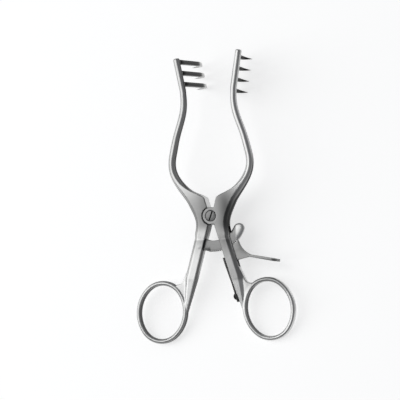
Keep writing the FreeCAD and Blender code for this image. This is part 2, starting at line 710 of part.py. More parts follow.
def make_ratchet_bar():
    """A toothed arc about the pivot, let into the left shank."""
    body = new_body("ratchet_bar")
    deep = DIM["shank_setback"] + DIM["bar_tang"]
    inner = DIM["bar_inner_radius"]
    outer = DIM["bar_outer_radius"]
    half_width = (outer - inner) / 2
    turn = DIM["bar_sweep"] - lean_of(half_width / bar_middle)
    band = shank_sketch(body, "band", LEFT, left_angle)
    outline(band, [
        (-deep, -root(outer * outer - deep * deep), outer, False),
        (outer * sine(turn), -outer * cosine(turn), half_width * 1.02, False),
        (inner * sine(turn), -inner * cosine(turn), inner, True),
        (-deep, -root(inner * inner - deep * deep)),
    ])
    pad(body, band, DIM["bar_thickness"], symmetric=True)
    for number in (-1, 1):
        hole = shank_sketch(body, "tang_hole", LEFT, left_angle)
        drill(body, "tang_hole", hole, -(DIM["shank_setback"] + DIM["tang_pin_inset"]),
              -(bar_middle + DIM["tang_pin_spread"] * number),
              DIM["tang_pin_radius"] + DIM["seat_gap"], far_enough)
    notch = shank_sketch(body, "tooth_gap", LEFT, left_angle)
    start = DIM["tooth_start"]
    finish = start + DIM["tooth_pitch"] * 0.9
    floor = outer - DIM["tooth_depth"]
    beyond = outer + DIM["tooth_depth"]
    outline(notch, [
        (floor * sine(start), -floor * cosine(start)),
        (beyond * sine(start), -beyond * cosine(start)),
        (beyond * sine(finish + DIM["tooth_pitch"]), -beyond * cosine(finish + DIM["tooth_pitch"])),
    ])
    gap = pocket(body, notch, DIM["bar_thickness"] * 2, symmetric=True)
    row = body.newObject("PartDesign::PolarPattern", "tooth_row")
    row.Originals = [gap]
    pivot = [item for item in body.Origin.OriginFeatures if item.Role == "Z_Axis"][0]
    row.Axis = (pivot, [""])
    row.Mode = "Spacing"
    bind(row, "Offset", DIM["tooth_pitch"])
    bind(row, "Occurrences", DIM["teeth"])
    body.Tip = row
    return body


def make_tang_pins():
    body = new_body("tang_pins")
    pins = shank_sketch(body, "pins", LEFT, left_angle)
    for number in (-1, 1):
        circle(pins, -(DIM["shank_setback"] + DIM["tang_pin_inset"]),
               -(bar_middle + DIM["tang_pin_spread"] * number), DIM["tang_pin_radius"])
    body.AllowCompound = True
    pad(body, pins, DIM["shank_depth"] - DIM["seat_gap"] * 4, symmetric=True)
    return body


def make_pivot_screw():
    body = new_body("pivot_screw")
    half = DIM["joint_depth"] / 2
    stem = new_sketch(body, "stem", "XY_Plane", above=-half + DIM["seat_gap"])
    circle(stem, 0, 0, DIM["screw_radius"])
    pad(body, stem, DIM["joint_depth"] - DIM["screw_head_height"])
    head = new_sketch(body, "head", "XY_Plane",
                      above=half - DIM["screw_head_height"] + DIM["seat_gap"])
    circle(head, 0, 0, DIM["screw_head_radius"])
    pad(body, head, DIM["screw_head_height"] - DIM["seat_gap"] * 2)
    slot = new_sketch(body, "driver_slot", "XY_Plane", above=half - DIM["screw_slot_depth"],
                      turn=-DIM["screw_slot_turn"], axis=(0, 0, 1))
    half_slot = DIM["screw_slot_width"] / 2
    long_half = DIM["screw_head_radius"] * 1.2
    outline(slot, [
        (-half_slot, -long_half),
        (half_slot, -long_half),
        (half_slot, long_half),
        (-half_slot, long_half),
    ])
    pocket(body, slot, DIM["joint_depth"], backwards=True)
    return body


def make_release_lever():
    """Pawl, tail and thumb plate, in the slot of the right shank."""
    body = new_body("release_lever")
    nose = DIM["bar_outer_radius"] + DIM["pawl_clearance"]
    outer = DIM["pawl_outer_angle"]
    inner = DIM["pawl_inner_angle"]
    side = DIM["shank_setback"]
    heel = DIM["lever_heel_along"]
    root_inset = side + DIM["plate_start_inset"]
    blade = shank_sketch(body, "blade", RIGHT, right_angle)
    outline(blade, [
        (nose * sine(inner), -nose * cosine(inner), nose, False),
        (nose * sine(outer), -nose * cosine(outer), DIM["lever_hollow_radius"], False),
        (root_inset, -heel + DIM["plate_thickness"] * 0.1),
        (root_inset, -heel - DIM["plate_thickness"] * 0.6),
        (side - DIM["lever_tail"], -heel),
        (side - DIM["lever_tail"], -heel + DIM["tail_length"]),
        (side + DIM["pawl_waist_inset"], -DIM["pawl_waist_along"]),
    ])
    pad(body, blade, DIM["bar_thickness"], symmetric=True)
    plate_x, plate_y = along_shank(right_angle, heel - DIM["plate_thickness"] * 0.1,
                                   DIM["plate_start_inset"])
    plate = new_sketch(body, "thumb_plate", "YZ_Plane", along=plate_y, above=plate_x,
                       turn=right_angle - DIM["plate_tilt"] - 90)
    overlap = DIM["plate_thickness"]
    straight = DIM["plate_length"] - DIM["plate_half"]
    outline(plate, [
        (-overlap, -DIM["plate_root_half"]),
        (straight, -DIM["plate_half"], DIM["plate_half"] * 1.02, False),
        (straight, DIM["plate_half"]),
        (-overlap, DIM["plate_root_half"]),
    ])
    pad(body, plate, DIM["plate_thickness"])
    hole = shank_sketch(body, "pin_hole", RIGHT, right_angle)
    drill(body, "pin_hole", hole, side + DIM["lever_pin_inset"], -DIM["lever_pin_along"],
          DIM["lever_pin_radius"] + DIM["running_clearance"], far_enough)
    return body


def make_lever_pin():
    body = new_body("lever_pin")
    pin = shank_sketch(body, "pin", RIGHT, right_angle)
    circle(pin, DIM["shank_setback"] + DIM["lever_pin_inset"], -DIM["lever_pin_along"],
           DIM["lever_pin_radius"])
    pad(body, pin, DIM["foot_depth"], symmetric=True)
    return body


def make_leaf_spring():
    """A strip screwed to the flat side of the right shank, held off it by the lever tail."""
    body = new_body("leaf_spring")
    free = DIM["shank_setback"] - DIM["lever_tail"] - DIM["running_clearance"]
    held = DIM["shank_setback"] - DIM["seat_gap"]
    thick = DIM["leaf_thickness"]
    knee = DIM["lever_heel_along"] + thick
    strip = shank_sketch(body, "strip", RIGHT, right_angle)
    outline(strip, [
        (free, -DIM["leaf_top"]),
        (free - thick, -DIM["leaf_top"]),
        (free - thick, -knee),
        (held - thick, -DIM["leaf_bend"]),
        (held - thick, -DIM["leaf_foot"]),
        (held, -DIM["leaf_foot"]),
        (held, -DIM["leaf_bend"]),
        (free, -knee),
    ])
    pad(body, strip, DIM["leaf_half_width"] * 2, symmetric=True)
    hole = shank_side_sketch(body, "leaf_hole", RIGHT, right_angle, size(0))
    drill(body, "leaf_hole", hole, -DIM["leaf_screw_along"], 0,
          DIM["leaf_screw_radius"] + DIM["seat_gap"], thick * 6)
    return body


def make_leaf_screw():
    body = new_body("leaf_screw")
    x, y = along_shank(right_angle, DIM["leaf_screw_along"], size(0))
    half = new_sketch(body, "turned_outline", "XY_Plane", along=x, across=y, turn=right_angle,
                      axis=(0, 0, 1))
    seat = -(DIM["leaf_thickness"] + DIM["seat_gap"] * 2)
    rise = DIM["leaf_head_height"]
    rim = DIM["leaf_head_radius"]
    dome = (rim * rim + rise * rise) / (2 * rise)
    outline(half, [
        (DIM["leaf_screw_length"], size(0)),
        (DIM["leaf_screw_length"], DIM["leaf_screw_radius"]),
        (seat, DIM["leaf_screw_radius"]),
        (seat, rim, dome, False),
        (seat - rise, size(0)),
    ])
    turned = body.newObject("PartDesign::Revolution", "turned")
    turned.Profile = half
    turned.ReferenceAxis = (half, ["H_Axis"])
    turned.Angle = 360
    return body


left_group = [make_left_half(), make_ratchet_bar(), make_tang_pins(), make_pivot_screw()]
right_group = [make_right_half(), make_release_lever(), make_lever_pin(), make_leaf_spring(),
               make_leaf_screw()]
doc.recompute()


def turned_about_pivot(angle):
    return FreeCAD.Placement(FreeCAD.Vector(), FreeCAD.Rotation(FreeCAD.Vector(0, 0, 1), angle))


def lowest(points, tilt):
    lean = math.radians(tilt)
    return min(point.y * math.sin(lean) + point.z * math.cos(lean) for point in points)


def resting_placement(posed):
    """Tip the tool about X until its rings and its lowest prong stand level, then set it down."""
    points = []
    for body, turn in posed:
        shape = body.Shape.copy()
        shape.Placement = turn
        points += shape.tessellate(0.1)[0]
    handle = [point for point in points if point.y < 0]
    arms = [point for point in points if point.y >= 0]
    low = 0.0
    high = 30.0
    for step in range(40):
        middle = (low + high) / 2
        if lowest(arms, middle) < lowest(handle, middle):
            low = middle
        else:
            high = middle
    lift = FreeCAD.Rotation(FreeCAD.Vector(1, 0, 0), middle)
    placed = [lift.multVec(point) for point in points]
    centre = FreeCAD.Vector((min(p.x for p in placed) + max(p.x for p in placed)) / 2,
                            (min(p.y for p in placed) + max(p.y for p in placed)) / 2,
                            min(p.z for p in placed))
    print("tilt", middle, "pivot at", -centre)
    return FreeCAD.Placement(-centre, lift)


posed = [(body, turned_about_pivot(DIM["open_angle_left"].value)) for body in left_group]
posed += [(body, turned_about_pivot(-DIM["open_angle_right"].value)) for body in right_group]
rest = resting_placement(posed)
for body, turn in posed:
    body.Placement = rest.multiply(turn)
doc.recompute()

for thing in doc.Objects:
    if "Invalid" in thing.State or "Error" in thing.State:
        raise RuntimeError(thing.Name + " failed: " + str(thing.State))
for body, turn in posed:
    if body.Shape.isNull() or not body.Shape.isValid():
        raise RuntimeError(body.Label + " has no valid shape")

os.makedirs("parts", exist_ok=True)
for body, turn in posed:
    body.Shape.exportStep("parts/" + body.Label + ".step")
    print(body.Label, round(body.Shape.Volume, 2), len(body.Shape.Solids), len(body.Shape.Faces))
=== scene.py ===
import json
import math

import bmesh
import bpy
from mathutils import Matrix, Vector

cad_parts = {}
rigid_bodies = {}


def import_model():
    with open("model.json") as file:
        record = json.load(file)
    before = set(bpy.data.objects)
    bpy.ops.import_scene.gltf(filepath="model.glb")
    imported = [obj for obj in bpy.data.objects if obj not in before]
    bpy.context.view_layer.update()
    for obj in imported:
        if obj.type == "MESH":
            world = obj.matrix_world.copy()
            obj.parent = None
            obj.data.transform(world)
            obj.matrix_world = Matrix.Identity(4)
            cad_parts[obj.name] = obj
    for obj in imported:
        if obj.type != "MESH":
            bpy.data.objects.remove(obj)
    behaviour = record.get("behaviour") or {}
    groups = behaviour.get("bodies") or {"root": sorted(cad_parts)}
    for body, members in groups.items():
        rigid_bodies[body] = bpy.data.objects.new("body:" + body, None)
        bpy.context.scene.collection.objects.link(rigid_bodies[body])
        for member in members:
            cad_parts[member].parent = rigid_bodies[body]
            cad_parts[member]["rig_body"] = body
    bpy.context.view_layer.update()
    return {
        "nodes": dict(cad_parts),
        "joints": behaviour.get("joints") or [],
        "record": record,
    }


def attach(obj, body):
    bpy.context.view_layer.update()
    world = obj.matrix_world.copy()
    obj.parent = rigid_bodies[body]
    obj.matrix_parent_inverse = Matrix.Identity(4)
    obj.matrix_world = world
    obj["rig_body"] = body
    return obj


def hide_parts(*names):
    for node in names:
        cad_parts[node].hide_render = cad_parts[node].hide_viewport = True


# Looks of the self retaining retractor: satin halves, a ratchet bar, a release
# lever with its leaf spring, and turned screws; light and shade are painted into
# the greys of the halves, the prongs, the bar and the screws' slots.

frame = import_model()
nodes = frame["nodes"]
joints = {joint["name"]: joint for joint in frame["joints"]}

MM = 0.001

# The tool's own frame, in millimetres: X sideways, Y to the points, Z to the
# front, from the pivot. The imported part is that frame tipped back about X.
PIVOT = Vector(joints["screw_joint"]["pos_m"])
AXIS = Vector(joints["screw_joint"]["axis"])
TIP_BACK = math.atan2(-AXIS.y, AXIS.z)
UPWARD = AXIS.cross(Vector((1, 0, 0)))
TOOL = Matrix.Translation(PIVOT) @ Matrix.Rotation(TIP_BACK, 4, "X") @ Matrix.Scale(MM, 4)

# The two halves as they lie in the photograph, turned open about the pivot.
# Angles are in degrees, and lengths in millimetres.
OPENING = {"left": 10.3, "right": -10.2}
HALVES = {
    side: TOOL @ Matrix.Rotation(math.radians(turn), 4, "Z") for side, turn in OPENING.items()
}
SIDE = {"left": -1, "right": 1}
ARM_REACH = {"left": 71.1, "right": 73.2}
ARM_OFFSET = 1.55
PRONGS = {"left": 3, "right": 4}
PRONG_FIRST = 1.5
PRONG_PITCH = 5.0
RING_CENTRES = {mount["name"]: Vector(mount["pos_m"]) for mount in frame["record"]["mounts"]}

# ---------------------------------------------------------------- node trees


class Wire:
    """A socket of a node tree, on which plain arithmetic adds the maths nodes."""

    def __init__(self, board, socket):
        self.board = board
        self.socket = socket

    def maths(self, operation, *values):
        """One Math node on numbers and wires."""
        return self.board.node("ShaderNodeMath", {"operation": operation}, values)

    def __add__(self, other):
        return self.maths("ADD", self, other)

    def __sub__(self, other):
        return self.maths("SUBTRACT", self, other)

    def __rsub__(self, other):
        return self.maths("SUBTRACT", other, self)

    def __mul__(self, other):
        return self.maths("MULTIPLY", self, other)

    __radd__ = __add__
    __rmul__ = __mul__


class Board:
    """A node tree whose nodes are added one call at a time."""

    def __init__(self, tree):
        self.tree = tree

    def feed(self, socket, value):
        """Links a wire to a socket, or writes a plain value in it."""
        if isinstance(value, Wire):
            self.tree.links.new(value.socket, socket)
        else:
            socket.default_value = value

    def node(self, kind, settings=None, values=(), output=0):
        """One node: its settings first, then the values or links of its sockets."""
        made = self.tree.nodes.new(kind)
        for name, setting in (settings or {}).items():
            setattr(made, name, setting)
        pairs = values.items() if isinstance(values, dict) else enumerate(values)
        for socket, value in pairs:
            self.feed(made.inputs[socket], value)
        return Wire(self, made.outputs[output])


# ---------------------------------------------------------------- materials


def grey(level):
    """Steel's colour at a level, with a trace of warmth."""
    return (level, level, level * 0.99, 1)


class Finish(Board):
    """A material of the tool or of the floor."""

    def __init__(self, name, colour, roughness, metallic=1.0):
        self.material = bpy.data.materials.new(name)
        self.material.use_nodes = True
        self.material.diffuse_color = (*colour, 1)
        super().__init__(self.material.node_tree)
        self.shader = self.tree.nodes["Principled BSDF"]
        self.set("Base Color", (*colour, 1))
        self.set("Roughness", roughness)
        self.set("Metallic", metallic)

    def set(self, name, value):
        """Feeds one socket of the surface."""
        self.feed(self.shader.inputs[name], value)

    def place(self):
        """Where a point of the piece is, in metres."""
        return self.node("ShaderNodeTexCoord", output="Object")

    def vector(self, operation, *values, output="Vector"):
        """One Vector Math node on vectors, colours and wires."""
        return self.node("ShaderNodeVectorMath", {"operation": operation}, values, output)

    def noise(self, vector, scale, detail=2.0):
        """Soft random greys; the scale is in spots to the metre."""
        values = {"Vector": vector, "Scale": scale, "Detail": detail}
        return self.node("ShaderNodeTexNoise", {}, values)

    def ramped(self, value, low, high):
        """0 below low, 1 above high, soft between."""
        values = {"Value": value, "From Min": low, "From Max": high}
        return self.node("ShaderNodeMapRange", {"interpolation_type": "SMOOTHSTEP"}, values)

    def beyond(self, length, span):
        """0 short of the span and 1 past it; the span is in millimetres."""
        return self.ramped(length, span[0] * MM, span[1] * MM)

    def within(self, length, span):
        """1 short of the span and 0 past it; the span is in millimetres."""
        return 1 - self.beyond(length, span)

    def towards(self, place, direction):
        """How far a place lies from the pivot in one direction, in metres."""
        away = self.vector("SUBTRACT", place, tuple(PIVOT))
        return self.vector("DOT_PRODUCT", away, tuple(direction), output="Value")

    def from_line(self, place, centre):
        """How far a place is from the line through a centre along the pivot's axis."""
        away = self.vector("SUBTRACT", place, tuple(centre))
        away = self.vector("CROSS_PRODUCT", away, tuple(AXIS))
        return self.vector("LENGTH", away, output="Value")

    def facing(self):
        """1 where the surface looks to the front or the back, 0 on the sides."""
        normal = self.node("ShaderNodeTexCoord", output="Normal")
        towards = self.vector("DOT_PRODUCT", normal, tuple(AXIS), output="Value")
        return towards.maths("ABSOLUTE", towards)

    def blended(self, factor, first, second):
        """One colour changing to another; the numbers are a colour Mix's own sockets."""
        values = {0: factor, 6: first, 7: second}
        return self.node("ShaderNodeMix", {"data_type": "RGBA"}, values, output=2)

    def greys(self, factor, first, second):
        """One grey changing to another."""
        return self.blended(factor, grey(first), grey(second))

    def shaded(self, mask, colour, level):
        """The colour with another grey where the mask is."""
        return self.blended(mask, colour, grey(level))

    def clouded(self, clouds, strength, colour, darkest):
        """The colour, darker in clouds."""
        darker = self.vector("MULTIPLY", colour, (darkest, darkest, darkest))
        return self.blended(clouds * strength, colour, darker)

    def bump(self, height, strength, distance):
        """The surface's direction, disturbed by a height."""
        values = {"Height": height, "Strength": strength, "Distance": distance}
        return self.node("ShaderNodeBump", {}, values)


# Where the greys of the halves, painted light and shade, change over, in
# millimetres: from the middle line, from the pivot, above and below the pivot,
# to the front, or from the middle of a ring.
JOINT_EDGE = (1.5, 7.5)
JOINT_END = (7.5, 21.0)
SHANK_START = (2.0, 12.0)
SHANK_END = (27.0, 35.0)
SHOULDER_START = (3.0, 9.5)
SHOULDER_END = (10.0, 10.7)
FOOT_START = (27.2, 28.8)
FOOT_EDGE = (12.5, 15.0)
LAP_START = (1.5, 3.0)
LAP_END = (14.0, 18.0)
LAP_FRONT = (0.5, 1.2)
SIDE_JOINT_END = (9.0, 18.0)
STRIPE_START = (5.0, 11.0)
WEB_START = (22.0, 28.0)
WEB_EDGE = (19.0, 22.0)
ARM_START = (19.0, 30.0)
RING_HOLE_EDGE = (11.2, 12.0)
CROTCH_START = (2.6, 3.4)
CROTCH_END = (11.0, 14.0)
CROTCH_EDGE = (2.0, 7.0)
HOOKS_START = (14.5, 17.5)
# How far a surface that counts as a side, then as a face, looks to the front;
# the sides get their own painted greys of shade and light.
SIDE_FACING = (0.35, 0.8)
# The greys that both halves share: painted shade in the lap and on the ring
# hole's wall, and a painted highlight in the crotch.
LAP_PAINTED_SHADE, RING_HOLE_PAINTED_SHADE, CROTCH_PAINTED_HIGHLIGHT = 0.02, 0.03, 0.62


def satin_steel(side, joint, shoulder, shank, foot, rest, sides, stripe):
    """Satin of one half, with light and shade painted into the greys of its zones.
    The faces: the joint, its outer edge, the shoulder below it, the shank, its foot
    and the rest. The sides, mostly painted dark as shade: joint, shank, arm and
    web, and a stripe up to a height painted lighter as a highlight."""
    finish = Finish(side + "_satin", (0.6, 0.6, 0.6), 0.34)
    place = finish.place()
    clouds = finish.noise(place, 160.0, 3.0)
    grains = finish.noise(place, 5200.0)
    above = finish.towards(place, UPWARD)
    below = above * -1
    height = finish.towards(place, AXIS)
    sideways = finish.towards(place, Vector((1, 0, 0)))
    off_middle = sideways.maths("ABSOLUTE", sideways)

    # Painted light and shade on the faces: each zone lit lighter or shaded darker.
    joint_grey = finish.greys(finish.beyond(off_middle, JOINT_EDGE), *joint)
    on_shank = finish.beyond(below, SHANK_START) - finish.beyond(below, SHANK_END)
    away_grey = finish.greys(on_shank, rest, shank)
    past_joint = finish.beyond(finish.from_line(place, PIVOT), JOINT_END)
    faces = finish.blended(past_joint, joint_grey, away_grey)
    on_shoulder = finish.beyond(below, SHOULDER_START) * finish.within(below, SHOULDER_END)
    faces = finish.shaded(on_shoulder, faces, shoulder)
    on_foot = finish.beyond(below, FOOT_START) * finish.within(off_middle, FOOT_EDGE)
    faces = finish.shaded(on_foot, faces, foot)
    # Painted shade: the lower faces where the halves lap, below the pivot, near black.
    on_lap = finish.beyond(below, LAP_START) * finish.within(height, LAP_FRONT)
    faces = finish.shaded(on_lap * finish.within(below, LAP_END), faces, LAP_PAINTED_SHADE)

    # Painted shade on the sides, with painted highlights on the stripe, web, arm and crotch.
    joint_side, shank_side, arm_side, web_side = sides
    stripe_height, stripe_grey = stripe
    edges = finish.greys(finish.beyond(below, SIDE_JOINT_END), joint_side, shank_side)
    on_stripe = finish.beyond(below, STRIPE_START) * finish.within(height, stripe_height)
    edges = finish.shaded(on_stripe, edges, stripe_grey)
    on_web = finish.beyond(below, WEB_START) * finish.within(off_middle, WEB_EDGE)
    edges = finish.shaded(on_web, edges, web_side)
    from_ring = finish.from_line(place, RING_CENTRES[side + "_finger_ring"])
    edges = finish.shaded(finish.within(from_ring, RING_HOLE_EDGE), edges, RING_HOLE_PAINTED_SHADE)
    edges = finish.shaded(finish.beyond(above, ARM_START), edges, arm_side)
    in_crotch = finish.beyond(above, CROTCH_START) * finish.within(off_middle, CROTCH_EDGE)
    edges = finish.shaded(in_crotch * finish.within(above, CROTCH_END), edges, CROTCH_PAINTED_HIGHLIGHT)

    # The half's painted shading: faces and sides meet by where the surface looks, so the sides take
    # painted shade.
    ground = finish.blended(finish.ramped(finish.facing(), *SIDE_FACING), edges, faces)
    finish.set("Base Color", finish.clouded(clouds, 0.3, ground, 0.72))
    finish.set("Roughness", 0.24 + clouds * 0.08 + grains * 0.06)
    finish.set("Normal", finish.bump(grains, 0.2, 0.04 * MM))
    return finish.material


def prong_satin(side, leg, hook):
    """Satin of one comb, with painted light and shade: greys of the legs and of the
    hooks below them.
    """
    finish = Finish(side + "_prongs", (0.2, 0.2, 0.2), 0.32)
    place = finish.place()
    clouds = finish.noise(place, 300.0, 3.0)
    grains = finish.noise(place, 5200.0)
    behind = finish.towards(place, AXIS) * -1
    # Painted shade: the legs near black; the hooks below lit or shaded by side.
    ground = finish.greys(finish.beyond(behind, HOOKS_START), leg, hook)
    finish.set("Base Color", finish.clouded(clouds, 0.4, ground, 0.6))
    finish.set("Roughness", 0.24 + clouds * 0.1 + grains * 0.06)
    finish.set("Normal", finish.bump(grains, 0.2, 0.04 * MM))
    return finish.material


# The bar's lobe, painted light as a highlight, from the middle line and from the
# pivot; the floor of the screw's slot, painted dark as shade, to the front; and the
# pitch of the turned rings.
LOBE_START = (10.0, 11.0)
LOBE_EDGE = (15.6, 15.9)
SLOT_FLOOR = (2.75, 3.1)
SLOT_PAINTED_SHADE = 0.03
TURNED_RING = 0.16


def ratchet_steel():
    """Ground flat, with fine lines from the wheel, and darker than the halves; its
    sides are painted darker as shade and its lobe lighter as a painted highlight.
    """
    finish = Finish("ratchet_steel", (0.5, 0.5, 0.5), 0.36)
    place = finish.place()
    lines = finish.noise(finish.vector("MULTIPLY", place, (0.12, 1.0, 1.0)), 2400.0, 3.0)
    clouds = finish.noise(place, 220.0, 3.0)
    # Painted shade: the sides darker than the faces.
    ground = finish.ramped(finish.facing(), 0.1, 0.6)
    sideways = finish.towards(place, Vector((1, 0, 0)))
    from_pivot = finish.from_line(place, PIVOT)
    # Painted highlight: the lobe far lighter than the rest of the bar.
    lobe = finish.beyond(sideways, LOBE_START) * finish.within(from_pivot, LOBE_EDGE)
    light = finish.blended(lobe, finish.greys(lines, 0.25, 0.34), finish.greys(clouds, 0.66, 0.76))
    dark = finish.blended(lobe, finish.greys(clouds, 0.1, 0.16), finish.greys(clouds, 0.4, 0.5))
    finish.set("Base Color", finish.blended(ground, dark, light))
    finish.set("Roughness", 0.3 + lines * 0.12)
    finish.set("Normal", finish.bump(lines, 0.25, 0.03 * MM))
    return finish.material


def spring_steel():
    """Tempered dark, with lines along the leaf."""
    finish = Finish("spring_steel", (0.09, 0.09, 0.1), 0.3)
    place = finish.place()
    lines = finish.noise(finish.vector("MULTIPLY", place, (1.0, 0.12, 1.0)), 2600.0)
    finish.set("Base Color", finish.greys(lines, 0.05, 0.13))
    finish.set("Roughness", 0.24 + lines * 0.14)
    finish.set("Normal", finish.bump(lines, 0.2, 0.03 * MM))
    return finish.material


def screw_steel():
    """Turned: fine rings about the pivot axis, and a grain, with painted shade on the
    slot's floor.
    """
    finish = Finish("screw_steel", (0.42, 0.42, 0.43), 0.32)
    place = finish.place()
    away = finish.from_line(place, PIVOT)
    rings = away.maths("SINE", away * (2 * math.pi / (TURNED_RING * MM)))
    grains = finish.noise(place, 2600.0)
    # Painted shade: the slot's floor near black.
    clear_of_slot = finish.beyond(finish.towards(place, AXIS), SLOT_FLOOR)
    turned = finish.greys(grains, 0.2, 0.28)
    finish.set("Base Color", finish.blended(clear_of_slot, grey(SLOT_PAINTED_SHADE), turned))
    finish.set("Roughness", 0.28 + grains * 0.14)
    finish.set("Normal", finish.bump(rings * 0.5 + grains, 0.25, 0.01 * MM))
    return finish.material


# Painted light and shade: the left half lit lighter than the right, the sides darker.
FINISHES = {
    "left_satin": satin_steel(
        "left",
        joint=(0.22, 0.34),
        shoulder=0.7,
        shank=0.74,
        foot=0.86,
        rest=0.62,
        sides=(0.04, 0.03, 0.05, 0.03),
        stripe=((-0.2, 0.4), 0.4),
    ),
    "right_satin": satin_steel(
        "right",
        joint=(0.32, 0.11),
        shoulder=0.4,
        shank=0.44,
        foot=0.8,
        rest=0.72,
        sides=(0.03, 0.045, 0.5, 0.6),
        stripe=((2.1, 2.7), 0.7),
    ),
    "left_prongs": prong_satin("left", leg=0.05, hook=0.6),
    "right_prongs": prong_satin("right", leg=0.06, hook=0.08),
    "ratchet_steel": ratchet_steel(),
    "spring_steel": spring_steel(),
    "screw_steel": screw_steel(),
}

# ------------------------------------------------------------ making meshes


def new_object(name, data=None):
    """An object in the scene, with a mesh of its own unless it is given data."""
    thing = bpy.data.objects.new(name, data or bpy.data.meshes.new(name))
    bpy.context.scene.collection.objects.link(thing)
    return thing


def mesh_object(name, mesh):
    """The worked mesh as an object."""
    thing = new_object(name)
    mesh.to_mesh(thing.data)
    mesh.free()
    return thing


def made_plain(thing):
    """The object's mesh with its modifiers carried out, and the modifiers gone."""
    finished = thing.evaluated_get(bpy.context.evaluated_depsgraph_get())
    made = bpy.data.meshes.new_from_object(finished)
    thing.modifiers.clear()
    thing.data = made
    made.name = thing.name
    return made


def merged_copy(name, *node_names):
    """The surfaces of these solids, each with its loose triangles joined up."""
    mesh = bmesh.new()
    for node_name in node_names:
        mesh.from_mesh(nodes[node_name].data)
    bmesh.ops.remove_doubles(mesh, verts=mesh.verts, dist=0.001 * MM)
    return mesh_object(name, mesh)


def joined_up(name, parts):
    """Several objects' meshes as one object."""
    mesh = bmesh.new()
    for part in parts:
        mesh.from_mesh(part.data)
        bpy.data.objects.remove(part)
    return mesh_object(name, mesh)


def stands_for(piece, slot_name, finish_name, *node_names):
    """Gives a finished piece its steel, and its body from the solids it stands for."""
    piece.data.materials.clear()
    piece.data.materials.append(FINISHES[finish_name])
    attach(piece, nodes[node_names[0]]["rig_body"])
    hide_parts(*node_names)


def rounded_section(place, half_across, half_up, squareness, count):
    """A ring of points round a section: 2 is an oval, more is squarer."""
    ring = []
    for number in range(count):
        turn = 2 * math.pi * number / count
        across = math.copysign(abs(math.cos(turn)) ** (2 / squareness), math.cos(turn))
        up = math.copysign(abs(math.sin(turn)) ** (2 / squareness), math.sin(turn))
        ring.append(place @ Vector((half_across * across, half_up * up, 0)))
    return ring


def swept(name, stations, count):
    """A closed skin over sections, each a place, two half sizes and a squareness."""
    mesh = bmesh.new()
    rings = []
    for station in stations:
        rings.append([mesh.verts.new(point) for point in rounded_section(*station, count)])
    for near, far in zip(rings, rings[1:]):
        for number in range(count):
            after = (number + 1) % count
            mesh.faces.new((near[number], near[after], far[after], far[number]))
    mesh.faces.new(rings[0][::-1])
    mesh.faces.new(rings[-1])
    bmesh.ops.recalc_face_normals(mesh, faces=mesh.faces)
    return mesh_object(name, mesh)


# ------------------------------------------- copies in a row, round or along


def row_maker():
    """Copies of one piece, each a step further and turned a little more about Z."""
    tree = bpy.data.node_groups.new("copies_in_a_row", "GeometryNodeTree")
    kinds = {
        "copies": "Int", "step": "Vector", "turn": "Float", "piece": "Object", "steel": "Material",
    }
    for name, kind in kinds.items():
        tree.interface.new_socket(name, in_out="INPUT", socket_type="NodeSocket" + kind)
    tree.interface.new_socket("row", in_out="OUTPUT", socket_type="NodeSocketGeometry")
    board = Board(tree)
    given = tree.nodes.new("NodeGroupInput")
    sizes = {name: Wire(board, given.outputs[name]) for name in kinds}
    line = {"Count": sizes["copies"], "Offset": sizes["step"]}
    points = board.node("GeometryNodeMeshLine", {"mode": "OFFSET"}, line)
    turned = board.node("GeometryNodeInputIndex") * sizes["turn"]
    angles = board.node("ShaderNodeCombineXYZ", {}, {"Z": turned})
    piece = board.node("GeometryNodeObjectInfo", {}, {"Object": sizes["piece"]}, "Geometry")
    placing = {"Points": points, "Instance": piece, "Rotation": angles}
    copies = board.node("GeometryNodeInstanceOnPoints", {}, placing)
    real = board.node("GeometryNodeRealizeInstances", {}, {"Geometry": copies})
    steel = {"Geometry": real, "Material": sizes["steel"]}
    dressed_row = board.node("GeometryNodeSetMaterial", {}, steel)
    result = tree.nodes.new("NodeGroupOutput")
    board.feed(result.inputs["row"], dressed_row)
    return tree


ROW_MAKER = row_maker()


def row_of(name, piece, copies, steel, step=(0, 0, 0), turn=0.0):
    """The row as a plain mesh, and its pattern piece taken away."""
    thing = new_object(name)
    maker = thing.modifiers.new("row", "NODES")
    maker.node_group = ROW_MAKER
    given = {"copies": copies, "step": step, "turn": turn, "piece": piece, "steel": FINISHES[steel]}
    for item in ROW_MAKER.interface.items_tree:
        if item.in_out == "INPUT":
            maker[item.identifier] = given[item.name]
    made_plain(thing)
    bpy.data.objects.remove(piece)
    return thing


# -------------------------------------------------------------- the prongs

# A prong, in millimetres in toward the other half and down from the arm. Its
# sections are given as half sizes, and its lengths as shares of the whole.
LEG_IN, LEG_DOWN = 4.56, 15.8
LEG_SHARES = (0.0, 0.25, 0.5, 0.75, 1.0)
HOOK_IN, HOOK_DEPTH = 2.1, 18.4
HOOK_ACROSS, HOOK_DOWN = 2.65, 3.55
HOOK_START, HOOK_STEP, HOOK_PLACES = -6, 12, 9
POINT_OUT, POINT_DEPTH = 0.2, 21.5
POINT_SHARES = (0.35, 0.7, 1.0)
RAKE = 0.028
LEG_THICK, LEG_THINNING, LEG_BROAD = 1.25, 0.62, 0.93
POINT_LENGTH = 0.2
POINT_THICK, POINT_BROAD = 0.75, 0.89
TIP_THICK, TIP_BROAD = 0.05, 0.04
SQUARE_LENGTH, LEG_SQUARENESS, POINT_SQUARENESS = 0.75, 5.0, 3.0
PRONG_CORNERS = 20


